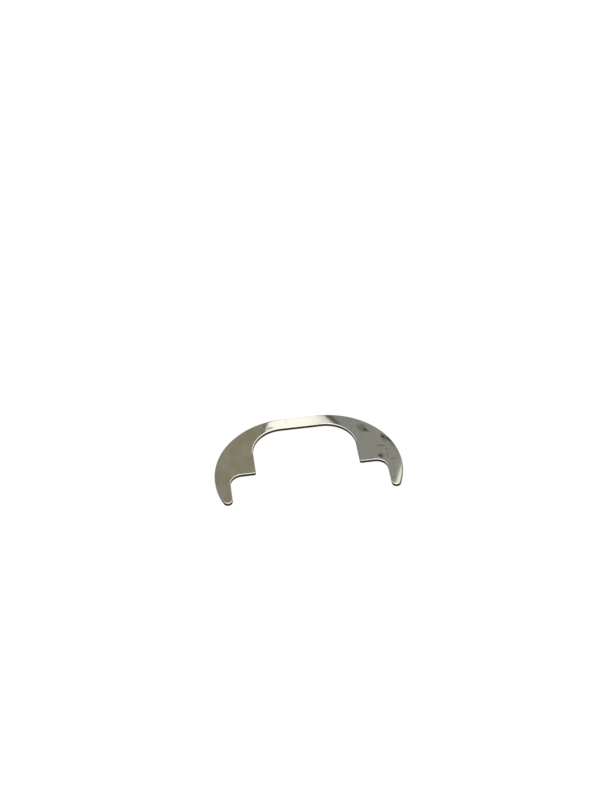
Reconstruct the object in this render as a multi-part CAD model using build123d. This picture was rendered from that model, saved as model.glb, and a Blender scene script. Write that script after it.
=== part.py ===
from build123d import *

# A flat crescent shim, blanked in one piece from 1 mm sheet steel. A narrow bridge joins two wide
# cheeks, and each cheek ends in a horn. The opening between them is open at the horns' side, so
# that the shim is pushed over a boss sideways, until the boss meets the bridge and a shoulder on
# it meets the two ledges.
#
# The shim lies flat. X runs along its width, and it is the same on both sides of X = 0. Y runs
# from the horns to the bridge, and Z is up. The origin is the middle of its outline, on the
# bottom face. All sizes are in millimetres.

import math
import os

# Outline
overall_width = 56.0  # over the two cheeks
overall_depth = 32.5  # from the bridge's outer edge to the horns' tips
outer_radius = 22.75  # of the long outer curve, from the bridge to the horn's tip
tip_radius = 1.4  # of the round end of each horn
bridge_width = 4.15

# Opening
opening_width = 31.2  # between the two cheeks
opening_corner_radius = 9.25  # where the cheeks run into the bridge
ledge_depth = 21.5  # from the bridge's outer edge to the two ledges
ledge_corner_radius = 0.5  # of the outer corner, between cheek and ledge
notch_radius = 3.5  # of the inner corner, between ledge and horn
largest_notch_share = 0.9  # of a short ledge, the most that the notch takes

# Sheet
thickness = 1.0
rolled_edge_radius = 0.2  # top face, which lay on the die: the cut draws its rim down
deburred_edge_radius = 0.08  # bottom face, under the punch: its burr is tumbled off


def horn_inner_x():
    """Where the straight inner edge of a horn lies, so that the horn's end is one full round.

    The round end touches the outer curve, the inner edge and the line across the tips.
    """
    curve_centre_x = overall_width / 2 - outer_radius
    tip_below_curve_centre = overall_depth - outer_radius - tip_radius
    tip_beside_curve_centre = math.sqrt(
        (outer_radius - tip_radius) ** 2 - tip_below_curve_centre**2
    )
    return curve_centre_x + tip_beside_curve_centre - tip_radius


def half_outline():
    """The face of the right half, from the middle of the bridge to the right-hand horn."""
    bridge_outer_y = overall_depth / 2
    bridge_inner_y = bridge_outer_y - bridge_width
    ledge_y = bridge_outer_y - ledge_depth
    cheek_x = opening_width / 2
    horn_x = horn_inner_x()
    ledge_length = horn_x - cheek_x

    curve_centre = Vector(overall_width / 2 - outer_radius, bridge_outer_y - outer_radius)
    tip_centre = Vector(horn_x + tip_radius, tip_radius - overall_depth / 2)
    to_tip = tip_centre - curve_centre
    touch_angle = math.degrees(math.atan2(to_tip.Y, to_tip.X))

    # On a short ledge the notch takes a share of what its outer corner leaves.
    notch = min(notch_radius, largest_notch_share * (ledge_length - ledge_corner_radius))

    with BuildSketch() as half:
        with BuildLine():
            Line((0, bridge_outer_y), (curve_centre.X, bridge_outer_y))
            CenterArc(curve_centre, outer_radius, 90, touch_angle - 90)
            CenterArc(tip_centre, tip_radius, touch_angle, -180 - touch_angle)
            FilletPolyline(
                (horn_x, tip_centre.Y),
                (horn_x, ledge_y),
                (cheek_x, ledge_y),
                (cheek_x, bridge_inner_y),
                (0, bridge_inner_y),
                radius=[notch, ledge_corner_radius, opening_corner_radius],
            )
            Line((0, bridge_inner_y), (0, bridge_outer_y))
        make_face()
    return half.sketch


def shim():
    """The whole shim: the outline through the sheet, with both its rims rounded."""
    with BuildPart() as blank:
        with BuildSketch():
            add(half_outline())
            mirror(about=Plane.YZ)
        extrude(amount=thickness)
        fillet(blank.edges().group_by(Axis.Z)[-1], rolled_edge_radius)
        fillet(blank.edges().group_by(Axis.Z)[0], deburred_edge_radius)
    return blank.part


os.makedirs("parts", exist_ok=True)
export_step(shim(), "parts/shim.step")
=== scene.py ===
import math

import bpy
from mathutils import Euler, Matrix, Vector


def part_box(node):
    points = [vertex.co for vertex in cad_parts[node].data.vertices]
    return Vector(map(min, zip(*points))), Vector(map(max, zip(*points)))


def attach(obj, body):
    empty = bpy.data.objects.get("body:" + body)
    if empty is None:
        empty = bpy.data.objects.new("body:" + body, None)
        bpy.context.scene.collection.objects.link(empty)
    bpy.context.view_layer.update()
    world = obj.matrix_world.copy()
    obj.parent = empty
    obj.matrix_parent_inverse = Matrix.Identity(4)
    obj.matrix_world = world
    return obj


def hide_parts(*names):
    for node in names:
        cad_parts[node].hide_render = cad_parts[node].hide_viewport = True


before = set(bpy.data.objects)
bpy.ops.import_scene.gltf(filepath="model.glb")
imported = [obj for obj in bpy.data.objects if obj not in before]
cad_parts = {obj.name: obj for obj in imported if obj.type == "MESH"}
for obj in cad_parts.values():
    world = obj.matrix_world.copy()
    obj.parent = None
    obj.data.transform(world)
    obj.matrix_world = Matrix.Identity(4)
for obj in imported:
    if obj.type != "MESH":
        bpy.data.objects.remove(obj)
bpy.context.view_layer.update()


# ---------------------------------------------------------------------------------------------
# The camera. The shim lies on its face, and the camera looks down on it from the side of its two
# horns, a little to the left, held slightly out of level.
# ---------------------------------------------------------------------------------------------
CAMERA_LENS = 67.5  # mm
SENSOR_WIDTH = 36  # mm
CAMERA_DISTANCE = 0.4666
CAMERA_TURN = math.radians(-5.69)  # to the left of the shim's middle line
CAMERA_HEIGHT = math.radians(43.53)  # above the horizon
CAMERA_ROLL = math.radians(-2.48)
AIM_BESIDE = 0.00131  # to the right of the shim's middle
AIM_BEYOND = 0.00753  # past the bridge's outer edge

shim_low, shim_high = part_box("shim")
shim_middle = (shim_low + shim_high) / 2
camera_aim = Vector((shim_middle.x + AIM_BESIDE, shim_high.y + AIM_BEYOND, shim_high.z))
camera_back = Vector(
    (
        math.sin(CAMERA_TURN) * math.cos(CAMERA_HEIGHT),
        -math.cos(CAMERA_TURN) * math.cos(CAMERA_HEIGHT),
        math.sin(CAMERA_HEIGHT),
    )
)
camera = bpy.data.objects.new("camera", bpy.data.cameras.new("camera"))
bpy.context.scene.collection.objects.link(camera)
camera.data.lens = CAMERA_LENS
camera.data.sensor_width = SENSOR_WIDTH
camera.data.clip_start = 0.01
camera.data.clip_end = 50
camera.location = camera_aim + camera_back * CAMERA_DISTANCE
camera.rotation_mode = "QUATERNION"
level = (-camera_back).to_track_quat("-Z", "Y")
camera.rotation_quaternion = level @ Euler((0, 0, CAMERA_ROLL)).to_quaternion()
bpy.context.scene.camera = camera


# ---------------------------------------------------------------------------------------------
# The shim. One piece of 1 mm steel strip, blanked in one stroke: a narrow bridge, two wide
# cheeks, and a horn at the end of each. The die rounds the rim of the upper face, cuts the upper
# part of the edge smooth and tears the rest, and the tumbler takes off the burr underneath.
# ---------------------------------------------------------------------------------------------
MM = 0.001
OUTER_RADIUS = 22.75 * MM  # of the long outer curve
TIP_RADIUS = 1.4 * MM
BRIDGE_WIDTH = 4.15 * MM
OPENING_HALF = 15.6 * MM
OPENING_CORNER = 9.25 * MM
LEDGE_DEPTH = 21.5 * MM  # from the bridge's outer edge
LEDGE_CORNER = 0.5 * MM
NOTCH_RADIUS = 3.5 * MM
ROLL_WIDTH = 0.48 * MM  # beside the edge, the die draws the upper face down over this width
ROLL_DEPTH = 0.02 * MM
ROLLED_RIM = 0.2 * MM  # upper face
BROKEN_RIM = 0.08 * MM  # lower face
TEAR_HEIGHT = 0.42 * MM  # below this the edge is torn and not cut
TEAR_SETBACK = 0.03 * MM  # how far the torn part leans in
SAME_HEIGHT = 0.01 * MM  # corners this near in height are on one rim
SHARP_EDGE = math.radians(40)  # a bend of more than this is shaded sharp


def draw_line(x, y):
    """Draws the outline on, in a straight line to (x, y)."""
    bpy.ops.mesh.extrude_vertices_move(
        TRANSFORM_OT_translate={"value": Vector((x, y, 0)) - Vector((*pen, 0))}
    )
    pen[:] = (x, y)


def draw_arc(centre, degrees, step):
    """Draws the outline on, round the centre, clockwise for a positive angle.

    No corner turns the outline by more than the step, in degrees.
    """
    steps = max(2, math.ceil(abs(degrees) / step))
    bpy.ops.mesh.spin(
        steps=steps,
        angle=math.radians(degrees),
        center=(*centre, 0),
        axis=(0, 0, 1),
        use_auto_merge=False,
    )
    arm = Vector(pen) - Vector(centre)
    turn = math.radians(-degrees)
    pen[:] = (
        centre[0] + arm.x * math.cos(turn) - arm.y * math.sin(turn),
        centre[1] + arm.x * math.sin(turn) + arm.y * math.cos(turn),
    )


def select_where(kind, test):
    """Selects the edges or the polygons of the shim, in edit mode, whose corners all pass."""
    bpy.ops.mesh.select_all(action="DESELECT")
    bpy.ops.object.mode_set(mode="OBJECT")
    for item in getattr(shim.data, kind):
        item.select = all(test(shim.data.vertices[corner].co) for corner in item.vertices)
    bpy.ops.object.mode_set(mode="EDIT")


top_y, bottom_y = shim_high.y, shim_low.y
curve_centre = (shim_high.x - OUTER_RADIUS, top_y - OUTER_RADIUS)
tip_drop = curve_centre[1] - bottom_y - TIP_RADIUS
tip_reach = math.sqrt((OUTER_RADIUS - TIP_RADIUS) ** 2 - tip_drop**2)
tip_centre = (curve_centre[0] + tip_reach, bottom_y + TIP_RADIUS)
horn_x = tip_centre[0] - TIP_RADIUS
touch = math.degrees(math.atan2(tip_drop, tip_reach))
ledge_y = top_y - LEDGE_DEPTH
inner_y = top_y - BRIDGE_WIDTH

bpy.ops.object.select_all(action="DESELECT")
bpy.ops.mesh.primitive_plane_add(size=1 * MM, location=(0, 0, 0))
shim = bpy.context.active_object
shim.name = "shim_blank"
bpy.ops.object.mode_set(mode="EDIT")
bpy.ops.mesh.merge(type="CENTER")
bpy.ops.transform.translate(value=(0, top_y, 0))
pen = [0.0, top_y]
draw_line(curve_centre[0], top_y)
draw_arc(curve_centre, 90 + touch, step=1)
draw_arc(tip_centre, 180 - touch, step=7.5)
draw_line(horn_x, ledge_y - NOTCH_RADIUS)
draw_arc((horn_x - NOTCH_RADIUS, ledge_y - NOTCH_RADIUS), -90, step=4.5)
draw_line(OPENING_HALF + LEDGE_CORNER, ledge_y)
draw_arc((OPENING_HALF + LEDGE_CORNER, ledge_y + LEDGE_CORNER), 90, step=11.25)
draw_line(OPENING_HALF, inner_y - OPENING_CORNER)
draw_arc((OPENING_HALF - OPENING_CORNER, inner_y - OPENING_CORNER), -90, step=2.25)
draw_line(0, inner_y)
bpy.ops.object.mode_set(mode="OBJECT")

bpy.ops.object.modifier_add(type="MIRROR")
shim.modifiers[-1].use_clip = True
shim.modifiers[-1].merge_threshold = 0.001 * MM
bpy.ops.object.modifier_apply(modifier=shim.modifiers[-1].name)

bpy.ops.object.mode_set(mode="EDIT")
bpy.ops.mesh.select_all(action="SELECT")
bpy.ops.mesh.edge_face_add()

# The torn part of the edge: the lower face is set in from the outline, and the outline is lifted.
bpy.ops.mesh.inset(thickness=TEAR_SETBACK, use_even_offset=True)
bpy.ops.mesh.select_all(action="INVERT")
bpy.ops.transform.translate(value=(0, 0, TEAR_HEIGHT))

# The cut part of the edge stands straight up from there, and the upper face closes it. Beside the
# edge that face rises a little, as the die leaves it. Then both rims are rounded.
bpy.ops.mesh.select_mode(type="EDGE")
bpy.ops.mesh.select_all(action="DESELECT")
bpy.ops.mesh.select_non_manifold()
bpy.ops.mesh.extrude_edges_move(
    TRANSFORM_OT_translate={"value": (0, 0, shim_high.z - ROLL_DEPTH - TEAR_HEIGHT)}
)
bpy.ops.mesh.edge_face_add()
bpy.ops.mesh.inset(thickness=ROLL_WIDTH, use_even_offset=True)
bpy.ops.transform.translate(value=(0, 0, ROLL_DEPTH))
bpy.ops.mesh.select_all(action="SELECT")
bpy.ops.mesh.normals_make_consistent(inside=False)
for rim_z, rim, segments in ((shim_high.z - ROLL_DEPTH, ROLLED_RIM, 6), (0, BROKEN_RIM, 3)):
    select_where("edges", lambda corner: abs(corner.z - rim_z) < SAME_HEIGHT)
    bpy.ops.mesh.bevel(
        offset=rim, offset_type="OFFSET", segments=segments, profile=0.5, clamp_overlap=False
    )
bpy.ops.object.mode_set(mode="OBJECT")

bpy.ops.object.shade_smooth_by_angle(angle=SHARP_EDGE)
bpy.ops.object.modifier_add(type="WEIGHTED_NORMAL")
shim.modifiers[-1].keep_sharp = True
bpy.ops.object.modifier_apply(modifier=shim.modifiers[-1].name)


def linear(colour):
    """An sRGB hex colour as the linear RGBA that a node takes."""
    parts = [int(colour[i : i + 2], 16) / 255 for i in (1, 3, 5)]
    return [c / 12.92 if c <= 0.04045 else ((c + 0.055) / 1.055) ** 2.4 for c in parts] + [1.0]


def add_node(tree, kind, inputs, **settings):
    """Adds a node. Each input, by name or number, gets a value or the output that feeds it."""
    made = tree.nodes.new(kind)
    for name, value in settings.items():
        setattr(made, name, value)
    for name, value in inputs.items():
        if isinstance(value, bpy.types.NodeSocket):
            tree.links.new(value, made.inputs[name])
        else:
            made.inputs[name].default_value = value
    return made


# Bright cold-rolled steel strip. Polished rolls leave it nearly a mirror, a warm grey, with faint lines
# along the strip. Oil leaves it mottled and brownish in places, and fingers leave dark stains.
# Towards the left cheek that oil is painted thicker, browner and darker: a painted reflection of the
# darker, warmer room that the left cheek mirrors.
STEEL = "#CDCCC0"
STEEL_BURNISHED = "#E0DED6"  # on the rounded rim
# The oiled and browned colours carry the oil and, towards the left cheek, a painted reflection.
STEEL_OIL_AND_REFLECTION = "#CBC7AE"
STEEL_BROWN_AND_REFLECTION = "#BDA98A"
STEEL_STAINED = "#24231E"
ROLL_LINE = 0.35  # mm between the rolling lines, drawn coarser than the real 0.05 so that they show
ROLL_LINE_LENGTH = 14  # mm
NOISE_LOW, NOISE_HIGH = 0.3, 0.7  # nearly all of a noise lies between these
STREAK_SHADE = (0.95, 1.03)  # of the colour, in the darkest and the lightest rolling line
STEEL_ROUGHNESS = (0.06, 0.1)
STAIN_ROUGHNESS = 0.1  # more than that, in a full stain
MOTTLE = 6  # mm across a cloud of oil
WIPED_START, WIPED_END = 0.35, 0.48  # of the mottle: where the film is thinnest, and where it is whole
WIPED_LEFT = 0.5  # of the film, where it is thinnest
BROWN_START, BROWN_FULL = 0.46, 0.64  # of the mottle
BROWN_MOST = 0.45
# Painted reflection: from here to there along X the oil film is painted in, thicker towards the left
# cheek, for the darker, warmer room that cheek mirrors.
PAINTED_REFLECTION_START, PAINTED_REFLECTION_FULL = -9, -15  # mm along X: the film of oil thickens from here to there
RIM_START, RIM_FULL = 0.985, 0.965  # mm up: the rounded rim is burnished, and keeps no oil
RAGGED_RATE = 1.1  # wanders of a stain's edge in each mm
RAGGED_REACH = (1.6, 2.2, 0)  # mm from one side to the other of the furthest that it wanders
STAIN_RIM, STAIN_CORE = 1.15, 0.3  # where a stain starts and is full, as a share of its half size
KINK_END = 11.5  # mm: the height on the shim where the kinks beside the bridge stop slanting
KINK_ROUND = 2  # mm over which that slant eases off
KINK_SLOPE = 0.07  # how far the cheeks fall away, per mm
BEND_START = 29.4  # mm from the middle, measured along BEND_WAY: where the right horn bends down
BEND_WAY = (0.93, -0.37, 0)  # outwards, and towards the tip
BEND_WIDTH = 4  # mm
BEND_SLOPE = 0.07  # how far the end of the horn falls away, per mm
WAVE_LENGTH = 15  # mm, of a slow wave over the whole sheet
WAVE_HEIGHT = 0.02  # mm

# Where the sheet kinks a little, beside the bridge: on which side, how far from the middle at the
# outer edge, how far the kink runs outwards for each mm down the bridge, and how wide it is, in mm.
KINKS = (
    (1, 8.3, 0.68, 4.0),
    (-1, 11.3, 0.32, 5.0),
)

# Where the dark stains are on the upper face: the middle, half the length and half the width, all in
# mm, then the lean of the length from the X axis in degrees, and how dark, up to 1.
STAINS = (
    (18.4, 8.4, 2.7, 1.7, -60, 0.4),
    (19.2, 7.5, 1.6, 0.9, -60, 0.8),
    (17.6, 9.2, 0.7, 0.5, 0, 0.55),
    (18.8, 9.4, 0.7, 0.5, 30, 0.5),
    (24.0, 3.7, 1.3, 0.8, -70, 0.82),
    (24.5, 2.6, 1.6, 1.2, -40, 0.4),
    (25.5, 2.5, 2.3, 0.8, -55, 0.75),
    (26.3, 0.2, 2.4, 0.6, -68, 0.4),
    (24.2, -1.4, 0.9, 0.5, 20, 0.25),
    (22.9, 0.2, 1.6, 0.5, -8, 0.65),
    (22.5, 0.3, 0.6, 0.4, 0, 0.5),
    (22.5, -3.4, 0.8, 0.5, -30, 0.6),
    (22.0, -4.1, 1.1, 0.8, -60, 0.85),
    (24.0, -4.4, 1.8, 0.4, 80, 0.25),
    (25.4, -5.6, 1.0, 0.6, 0, 0.35),
    (24.5, -13.4, 0.7, 0.5, 0, 0.45),
    (-9.3, 12.9, 1.2, 0.7, 10, 0.5),
    (-4.0, 14.2, 2.5, 0.25, 88, 0.13),
)

steel = bpy.data.materials.new("bright_cold_rolled_steel")
steel.use_nodes = True
tree = steel.node_tree
shader = tree.nodes["Principled BSDF"]
place = add_node(tree, "ShaderNodeTexCoord", {}).outputs["Object"]
place_mm = add_node(tree, "ShaderNodeMapping", {"Vector": place, "Scale": (1000, 1000, 1000)}).outputs[0]
axes = add_node(tree, "ShaderNodeSeparateXYZ", {0: place_mm}).outputs

along_strip = add_node(
    tree,
    "ShaderNodeMapping",
    {"Vector": place_mm, "Scale": (1 / ROLL_LINE, 1 / ROLL_LINE_LENGTH, 1)},
).outputs[0]
roll_lines = add_node(
    tree, "ShaderNodeTexNoise", {"Vector": along_strip, "Scale": 1, "Detail": 4}
).outputs["Fac"]
mottle = add_node(
    tree, "ShaderNodeTexNoise", {"Vector": place_mm, "Scale": 1 / MOTTLE, "Detail": 3}
).outputs["Fac"]

# The stains: each is an ellipse with a ragged edge, and the darkest at a point wins.
ragged = add_node(
    tree, "ShaderNodeTexNoise", {"Vector": place_mm, "Scale": RAGGED_RATE, "Detail": 4}
).outputs["Color"]
ragged = add_node(
    tree, "ShaderNodeVectorMath", {0: ragged, 1: (0.5, 0.5, 0.5)}, operation="SUBTRACT"
).outputs[0]
ragged = add_node(
    tree,
    "ShaderNodeVectorMath",
    {0: ragged, 1: RAGGED_REACH, 2: place_mm},
    operation="MULTIPLY_ADD",
).outputs[0]
stained = None
for x, y, length, width, lean, depth in STAINS:
    ellipse = add_node(
        tree,
        "ShaderNodeMapping",
        {
            "Vector": ragged,
            "Location": (x, y, 1),
            "Rotation": (0, 0, math.radians(lean)),
            "Scale": (length, width, 0.5),
        },
        vector_type="TEXTURE",
    ).outputs[0]
    reach = add_node(tree, "ShaderNodeVectorMath", {0: ellipse}, operation="LENGTH").outputs["Value"]
    stain = add_node(
        tree,
        "ShaderNodeMapRange",
        {"Value": reach, "From Min": STAIN_RIM, "From Max": STAIN_CORE, "To Min": 0, "To Max": depth},
        interpolation_type="SMOOTHSTEP",
    ).outputs[0]
    if stained is None:
        stained = stain
    else:
        stained = add_node(tree, "ShaderNodeMath", {0: stained, 1: stain}, operation="MAXIMUM").outputs[0]

# Colour: steel, with a film of oil, wiped thin in places and browned in others, that thickens towards the
# left cheek; that thickening is a painted reflection of the darker, warmer room which the left cheek
# mirrors. Then a little streaked, then stained.
oil_and_painted_reflection = add_node(
    tree,
    "ShaderNodeMapRange",
    {"Value": axes["X"], "From Min": PAINTED_REFLECTION_START, "From Max": PAINTED_REFLECTION_FULL, "To Min": 0, "To Max": 1},
).outputs[0]
on_rim = add_node(
    tree,
    "ShaderNodeMapRange",
    {"Value": axes["Z"], "From Min": RIM_START, "From Max": RIM_FULL, "To Min": 0, "To Max": 1},
).outputs[0]
off_rim = add_node(tree, "ShaderNodeMath", {0: 1, 1: on_rim}, operation="SUBTRACT").outputs[0]
oil_and_painted_reflection = add_node(tree, "ShaderNodeMath", {0: oil_and_painted_reflection, 1: off_rim}, operation="MULTIPLY").outputs[0]
wiped = add_node(
    tree,
    "ShaderNodeMapRange",
    {"Value": mottle, "From Min": WIPED_START, "From Max": WIPED_END, "To Min": WIPED_LEFT, "To Max": 1},
).outputs[0]
oil_and_painted_reflection = add_node(tree, "ShaderNodeMath", {0: oil_and_painted_reflection, 1: wiped}, operation="MULTIPLY").outputs[0]
colour = add_node(
    tree,
    "ShaderNodeMix",
    {"Factor": on_rim, 6: linear(STEEL), 7: linear(STEEL_BURNISHED)},
    data_type="RGBA",
).outputs[2]
colour = add_node(
    tree,
    "ShaderNodeMix",
    {"Factor": oil_and_painted_reflection, 6: colour, 7: linear(STEEL_OIL_AND_REFLECTION)},
    data_type="RGBA",
).outputs[2]
brown_and_reflection = add_node(
    tree,
    "ShaderNodeMapRange",
    {"Value": mottle, "From Min": BROWN_START, "From Max": BROWN_FULL, "To Min": 0, "To Max": BROWN_MOST},
).outputs[0]
brown_and_reflection = add_node(tree, "ShaderNodeMath", {0: brown_and_reflection, 1: oil_and_painted_reflection}, operation="MULTIPLY").outputs[0]
colour = add_node(
    tree,
    "ShaderNodeMix",
    {"Factor": brown_and_reflection, 6: colour, 7: linear(STEEL_BROWN_AND_REFLECTION)},
    data_type="RGBA",
).outputs[2]
streak = add_node(
    tree,
    "ShaderNodeMapRange",
    {
        "Value": roll_lines,
        "From Min": NOISE_LOW,
        "From Max": NOISE_HIGH,
        "To Min": STREAK_SHADE[0],
        "To Max": STREAK_SHADE[1],
    },
).outputs[0]
colour = add_node(
    tree, "ShaderNodeVectorMath", {0: colour, "Scale": streak}, operation="SCALE"
).outputs[0]
colour = add_node(
    tree,
    "ShaderNodeMix",
    {"Factor": stained, 6: colour, 7: linear(STEEL_STAINED)},
    data_type="RGBA",
).outputs[2]
tree.links.new(colour, shader.inputs["Base Color"])
shader.inputs["Metallic"].default_value = 1

# Roughness: a mirror with a haze, dulled by the stains.
rough = add_node(
    tree,
    "ShaderNodeMapRange",
    {
        "Value": roll_lines,
        "From Min": NOISE_LOW,
        "From Max": NOISE_HIGH,
        "To Min": STEEL_ROUGHNESS[0],
        "To Max": STEEL_ROUGHNESS[1],
    },
).outputs[0]
rough = add_node(
    tree, "ShaderNodeMath", {0: stained, 1: STAIN_ROUGHNESS, 2: rough}, operation="MULTIPLY_ADD"
).outputs[0]
tree.links.new(rough, shader.inputs["Roughness"])

# Relief, in mm: the kinks beside the bridge, the bend of the right horn, and a slow wave over all.
slant_height = add_node(
    tree, "ShaderNodeMath", {0: axes["Y"], 1: KINK_END, 2: KINK_ROUND}, operation="SMOOTH_MAX"
).outputs[0]
fall = None
for side, start, slant, width in KINKS:
    kink = add_node(
        tree,
        "ShaderNodeMath",
        {0: slant_height, 1: slant, 2: -start - slant * shim_high.y / MM},
        operation="MULTIPLY_ADD",
    ).outputs[0]
    past_kink = add_node(
        tree, "ShaderNodeMath", {0: axes["X"], 1: side, 2: kink}, operation="MULTIPLY_ADD"
    ).outputs[0]
    past_kink = add_node(
        tree, "ShaderNodeMath", {0: past_kink, 1: 0, 2: width}, operation="SMOOTH_MAX"
    ).outputs[0]
    if fall is None:
        fall = past_kink
    else:
        fall = add_node(tree, "ShaderNodeMath", {0: fall, 1: past_kink}, operation="ADD").outputs[0]
fall = add_node(
    tree, "ShaderNodeMath", {0: fall, 1: KINK_SLOPE}, operation="MULTIPLY"
).outputs[0]
along_bend = add_node(
    tree, "ShaderNodeVectorMath", {0: place_mm, 1: BEND_WAY}, operation="DOT_PRODUCT"
).outputs["Value"]
past_bend = add_node(
    tree, "ShaderNodeMath", {0: along_bend, 1: BEND_START}, operation="SUBTRACT"
).outputs[0]
past_bend = add_node(
    tree, "ShaderNodeMath", {0: past_bend, 1: 0, 2: BEND_WIDTH}, operation="SMOOTH_MAX"
).outputs[0]
fall = add_node(
    tree, "ShaderNodeMath", {0: past_bend, 1: BEND_SLOPE, 2: fall}, operation="MULTIPLY_ADD"
).outputs[0]
wave = add_node(
    tree, "ShaderNodeTexNoise", {"Vector": place_mm, "Scale": 1 / WAVE_LENGTH, "Detail": 1}
).outputs["Fac"]
wave = add_node(tree, "ShaderNodeMath", {0: wave, 1: WAVE_HEIGHT}, operation="MULTIPLY").outputs[0]
relief = add_node(tree, "ShaderNodeMath", {0: wave, 1: fall}, operation="SUBTRACT").outputs[0]
bump = add_node(tree, "ShaderNodeBump", {"Height": relief, "Distance": MM, "Strength": 1})
tree.links.new(bump.outputs["Normal"], shader.inputs["Normal"])

# The blanked edge of the same steel. Its upper part is cut, drawn out in upright streaks; below an uneven
# line it is torn, grainy and dark, and holds the oil of the press.
# Both parts are painted much darker than that steel is, as painted shade for the shadow beside the shim
# that the edge mirrors and the glowing floor does not give.
# The dark edge material starts halfway round the rolled rim: on the rim's lower half it is painted shade,
# where the rim would mirror the shadow beside the shim.
PAINTED_SHADE_START = shim_high.z - ROLL_DEPTH - ROLLED_RIM * 0.28  # halfway round the rolled rim
# Painted shade: both edge colours are much darker than the cut and torn steel itself.
CUT_AND_PAINTED_SHADE = "#383732"
TORN_AND_PAINTED_SHADE = "#1C1B18"
EDGE_STREAK = 0.12  # mm wide
EDGE_STREAK_HEIGHT = 2.5  # mm
EDGE_SHADE = (0.75, 1.25)  # of the colour, in the darkest and the lightest streak
TORN_ROUGHNESS = 0.6
CUT_ROUGHNESS = 0.35
TEAR_GRAIN = 0.09  # mm
TEAR_LINE = (0.26, 0.32)  # mm up, before the streaks make it uneven: the edge goes from torn to cut
TEAR_UNEVEN = 0.3  # mm that the streaks lift that line, at most
EDGE_RELIEF = 0.02 * MM  # of the torn pits
STREAK_RELIEF = 0.3  # of that, in the streaks

edge = bpy.data.materials.new("blanked_steel_edge_with_painted_shade")
edge.use_nodes = True
tree = edge.node_tree
shader = tree.nodes["Principled BSDF"]
place = add_node(tree, "ShaderNodeTexCoord", {}).outputs["Object"]
place_mm = add_node(tree, "ShaderNodeMapping", {"Vector": place, "Scale": (1000, 1000, 1000)}).outputs[0]
height = add_node(tree, "ShaderNodeSeparateXYZ", {0: place_mm}).outputs["Z"]
upright = add_node(
    tree,
    "ShaderNodeMapping",
    {"Vector": place_mm, "Scale": (1 / EDGE_STREAK, 1 / EDGE_STREAK, 1 / EDGE_STREAK_HEIGHT)},
).outputs[0]
streaks = add_node(
    tree, "ShaderNodeTexNoise", {"Vector": upright, "Scale": 1, "Detail": 3}
).outputs["Fac"]
grain = add_node(
    tree, "ShaderNodeTexNoise", {"Vector": place_mm, "Scale": 1 / TEAR_GRAIN, "Detail": 3}
).outputs["Fac"]
uneven = add_node(
    tree, "ShaderNodeMath", {0: streaks, 1: -TEAR_UNEVEN, 2: height}, operation="MULTIPLY_ADD"
).outputs[0]
cut = add_node(
    tree,
    "ShaderNodeMapRange",
    {"Value": uneven, "From Min": TEAR_LINE[0], "From Max": TEAR_LINE[1], "To Min": 0, "To Max": 1},
    interpolation_type="SMOOTHSTEP",
).outputs[0]
# Torn below, cut above, both with painted shade.
colour = add_node(
    tree, "ShaderNodeMix", {"Factor": cut, 6: linear(TORN_AND_PAINTED_SHADE), 7: linear(CUT_AND_PAINTED_SHADE)}, data_type="RGBA"
).outputs[2]
shade = add_node(
    tree,
    "ShaderNodeMapRange",
    {
        "Value": streaks,
        "From Min": NOISE_LOW,
        "From Max": NOISE_HIGH,
        "To Min": EDGE_SHADE[0],
        "To Max": EDGE_SHADE[1],
    },
).outputs[0]
colour = add_node(
    tree, "ShaderNodeVectorMath", {0: colour, "Scale": shade}, operation="SCALE"
).outputs[0]
tree.links.new(colour, shader.inputs["Base Color"])
shader.inputs["Metallic"].default_value = 1
rough = add_node(
    tree,
    "ShaderNodeMapRange",
    {"Value": cut, "From Min": 0, "From Max": 1, "To Min": TORN_ROUGHNESS, "To Max": CUT_ROUGHNESS},
).outputs[0]
tree.links.new(rough, shader.inputs["Roughness"])
torn = add_node(tree, "ShaderNodeMath", {0: 1, 1: cut}, operation="SUBTRACT").outputs[0]
pits = add_node(tree, "ShaderNodeMath", {0: grain, 1: torn}, operation="MULTIPLY").outputs[0]
relief = add_node(
    tree, "ShaderNodeMath", {0: streaks, 1: STREAK_RELIEF, 2: pits}, operation="MULTIPLY_ADD"
).outputs[0]
bump = add_node(tree, "ShaderNodeBump", {"Height": relief, "Distance": EDGE_RELIEF, "Strength": 1})
tree.links.new(bump.outputs["Normal"], shader.inputs["Normal"])

shim.data.materials.append(steel)
shim.data.materials.append(edge)
bpy.ops.object.mode_set(mode="EDIT")
bpy.ops.mesh.select_mode(type="FACE")
# The dark edge material, with its painted shade, goes on the walls and on the lower half of the rolled
# rim.
select_where("polygons", lambda corner: BROKEN_RIM * 0.9 < corner.z < PAINTED_SHADE_START)
shim.active_material_index = 1
bpy.ops.object.material_slot_assign()
bpy.ops.object.mode_set(mode="OBJECT")

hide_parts("shim")
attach(shim, "root")


# ---------------------------------------------------------------------------------------------
# The floor: a wide white sheet. What looks at it sees plain white, and so does the steel, but a
# part of its brightness is real light, so that the shim's shadow stays on it.
# ---------------------------------------------------------------------------------------------
FLOOR_GLOW = 0.88  # the part of its white that needs no lamp
FLOOR_WHITE = 1.06  # how strong that part is, so that with the lit part it is plain white
FLOOR_SIZE = 30
FLOOR_GAP = 0.02 * MM  # under the shim

bpy.ops.object.select_all(action="DESELECT")
bpy.ops.mesh.primitive_plane_add(size=FLOOR_SIZE, location=(0, 0, shim_low.z - FLOOR_GAP))
floor = bpy.context.active_object
floor.name = "floor"

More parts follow.
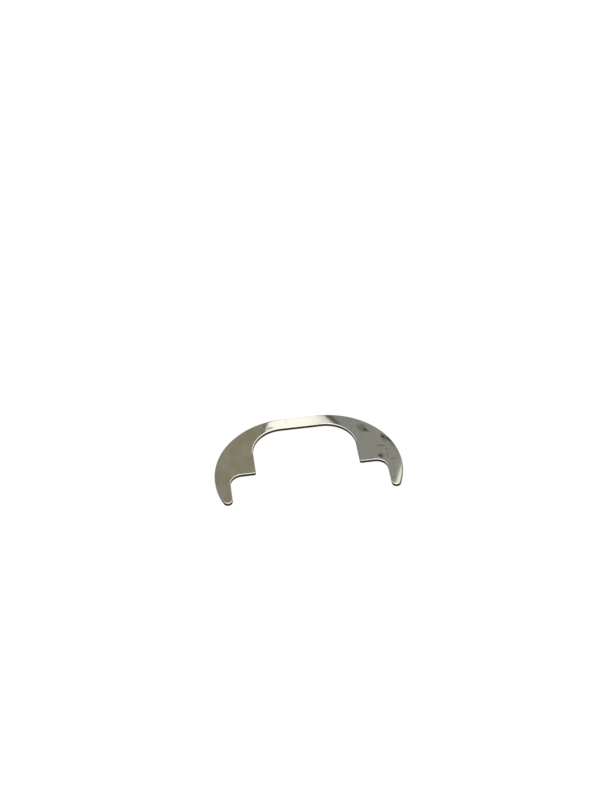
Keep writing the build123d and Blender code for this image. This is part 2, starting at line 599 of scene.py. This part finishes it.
white = bpy.data.materials.new("white_paper")
white.use_nodes = True
tree = white.node_tree
tree.nodes.clear()
ray = add_node(tree, "ShaderNodeLightPath", {}).outputs
seen = add_node(
    tree,
    "ShaderNodeMath",
    {0: ray["Is Camera Ray"], 1: ray["Is Glossy Ray"]},
    operation="ADD",
).outputs[0]
seen = add_node(
    tree, "ShaderNodeMath", {0: seen, 1: ray["Is Transmission Ray"]}, operation="ADD"
).outputs[0]
seen = add_node(tree, "ShaderNodeMath", {0: seen, 1: FLOOR_GLOW}, operation="MULTIPLY").outputs[0]
paper = add_node(tree, "ShaderNodeBsdfDiffuse", {"Color": linear("#F4F4F2")})
glow = add_node(tree, "ShaderNodeEmission", {"Color": linear("#FFFFFF"), "Strength": FLOOR_WHITE})
shown = add_node(
    tree, "ShaderNodeMixShader", {0: seen, 1: paper.outputs[0], 2: glow.outputs[0]}
)
add_node(tree, "ShaderNodeOutputMaterial", {"Surface": shown.outputs[0]})
floor.data.materials.append(white)


# ---------------------------------------------------------------------------------------------
# The light. A studio with grey walls and ceiling, which the cheeks mirror, and a white cove at the
# foot of the walls; a strip lamp in a cloth frame, which the bridge mirrors; a wide soft lamp above
# all; and a small one behind the right horn, which glints in its bend.
# ---------------------------------------------------------------------------------------------
WALL_GREY = "#828280"
CEILING_GREY = "#A5A5A2"
COVE_TOP = math.sin(math.radians(4))  # up to here the room is as white as the floor
WALL_START = math.sin(math.radians(12))
CEILING_START = math.sin(math.radians(44))

world = bpy.data.worlds.new("studio")
bpy.context.scene.world = world
world.use_nodes = True
tree = world.node_tree
tree.nodes.clear()
direction = add_node(tree, "ShaderNodeTexCoord", {}).outputs["Generated"]
rise = add_node(tree, "ShaderNodeSeparateXYZ", {0: direction}).outputs["Z"]
ceiling = add_node(
    tree,
    "ShaderNodeMapRange",
    {"Value": rise, "From Min": WALL_START, "From Max": CEILING_START, "To Min": 0, "To Max": 1},
    interpolation_type="SMOOTHSTEP",
).outputs[0]
room = add_node(
    tree,
    "ShaderNodeMix",
    {"Factor": ceiling, 6: linear(WALL_GREY), 7: linear(CEILING_GREY)},
    data_type="RGBA",
).outputs[2]
cove = add_node(
    tree,
    "ShaderNodeMapRange",
    {"Value": rise, "From Min": WALL_START, "From Max": COVE_TOP, "To Min": 0, "To Max": 1},
    interpolation_type="SMOOTHSTEP",
).outputs[0]
room = add_node(
    tree,
    "ShaderNodeMix",
    {"Factor": cove, 6: room, 7: linear("#FFFFFF")},
    data_type="RGBA",
).outputs[2]
background = add_node(tree, "ShaderNodeBackground", {"Color": room, "Strength": 1})
add_node(tree, "ShaderNodeOutputWorld", {"Surface": background.outputs[0]})


def face_shim(thing, turn, height, distance):
    """Hangs a lamp or a screen so that it faces the shim.

    The turn, from the shim's +Y axis towards +X, and the height are in degrees.
    """
    turn, height = math.radians(turn), math.radians(height)
    away = Vector(
        (math.sin(turn) * math.cos(height), math.cos(turn) * math.cos(height), math.sin(height))
    )
    thing.location = shim_middle + distance * away
    thing.rotation_mode = "QUATERNION"
    thing.rotation_quaternion = (-away).to_track_quat("-Z", "Y")


def add_lamp(name, turn, height, distance, width, length, brightness):
    """Adds a soft lamp that faces the shim. A brightness of 1 is about as bright as white."""
    data = bpy.data.lights.new(name, "AREA")
    data.shape = "RECTANGLE"
    data.size = width
    data.size_y = length
    data.energy = brightness * math.pi * width * length
    lamp = bpy.data.objects.new(name, data)
    bpy.context.scene.collection.objects.link(lamp)
    face_shim(lamp, turn, height, distance)


STRIP_TURN = 4.45
STRIP_WIDTH = 0.118
MARGIN_TURN = 7.95  # the margin is the dim edge on the strip's right
MARGIN_WIDTH = 0.058
STRIP_LENGTH = 0.7
LAMP_HEIGHT = 44  # degrees, of the strip, its edge and its frame
LAMP_DISTANCE = 2
FRAME_HOLE = 0.19
FRAME_WIDTH = 0.08
FRAME_TRIM = 0.035  # how much narrower its left side is, seen from the shim
FRAME_TURN = 5.8
strip_place = {"height": LAMP_HEIGHT, "distance": LAMP_DISTANCE, "length": STRIP_LENGTH}
add_lamp("strip_lamp", turn=STRIP_TURN, width=STRIP_WIDTH, brightness=1.3, **strip_place)
add_lamp("strip_margin", turn=MARGIN_TURN, width=MARGIN_WIDTH, brightness=0.75, **strip_place)
add_lamp("overhead_lamp", turn=180, height=90, distance=1.6, width=1.8, length=2.6, brightness=1.1)
add_lamp("right_lamp", turn=25.5, height=51.5, distance=2, width=0.138, length=0.6, brightness=1.0)

bpy.ops.mesh.primitive_plane_add(size=1, location=(0, 0, 0))
lamp_frame = bpy.context.active_object
lamp_frame.name = "lamp_frame"
bpy.ops.object.mode_set(mode="EDIT")
bpy.ops.transform.resize(
    value=(FRAME_HOLE + 2 * FRAME_WIDTH, STRIP_LENGTH + 2 * FRAME_WIDTH, 1)
)
bpy.ops.mesh.inset(thickness=FRAME_WIDTH)
bpy.ops.mesh.delete(type="FACE")
bpy.ops.mesh.select_all(action="DESELECT")
bpy.ops.object.mode_set(mode="OBJECT")
for corner in lamp_frame.data.vertices:
    corner.select = corner.co.x > (FRAME_HOLE + FRAME_WIDTH) / 2
bpy.ops.object.mode_set(mode="EDIT")
bpy.ops.transform.translate(value=(-FRAME_TRIM, 0, 0))
bpy.ops.object.mode_set(mode="OBJECT")
face_shim(lamp_frame, FRAME_TURN, LAMP_HEIGHT, LAMP_DISTANCE)

# Grey cloth, quite matt, that leaves a dark band beside the bright bridge.
cloth = bpy.data.materials.new("grey_cloth")
cloth.use_nodes = True
cloth.node_tree.nodes["Principled BSDF"].inputs["Base Color"].default_value = linear("#787876")
cloth.node_tree.nodes["Principled BSDF"].inputs["Roughness"].default_value = 0.9
lamp_frame.data.materials.append(cloth)

bpy.context.scene.view_settings.view_transform = "Standard"
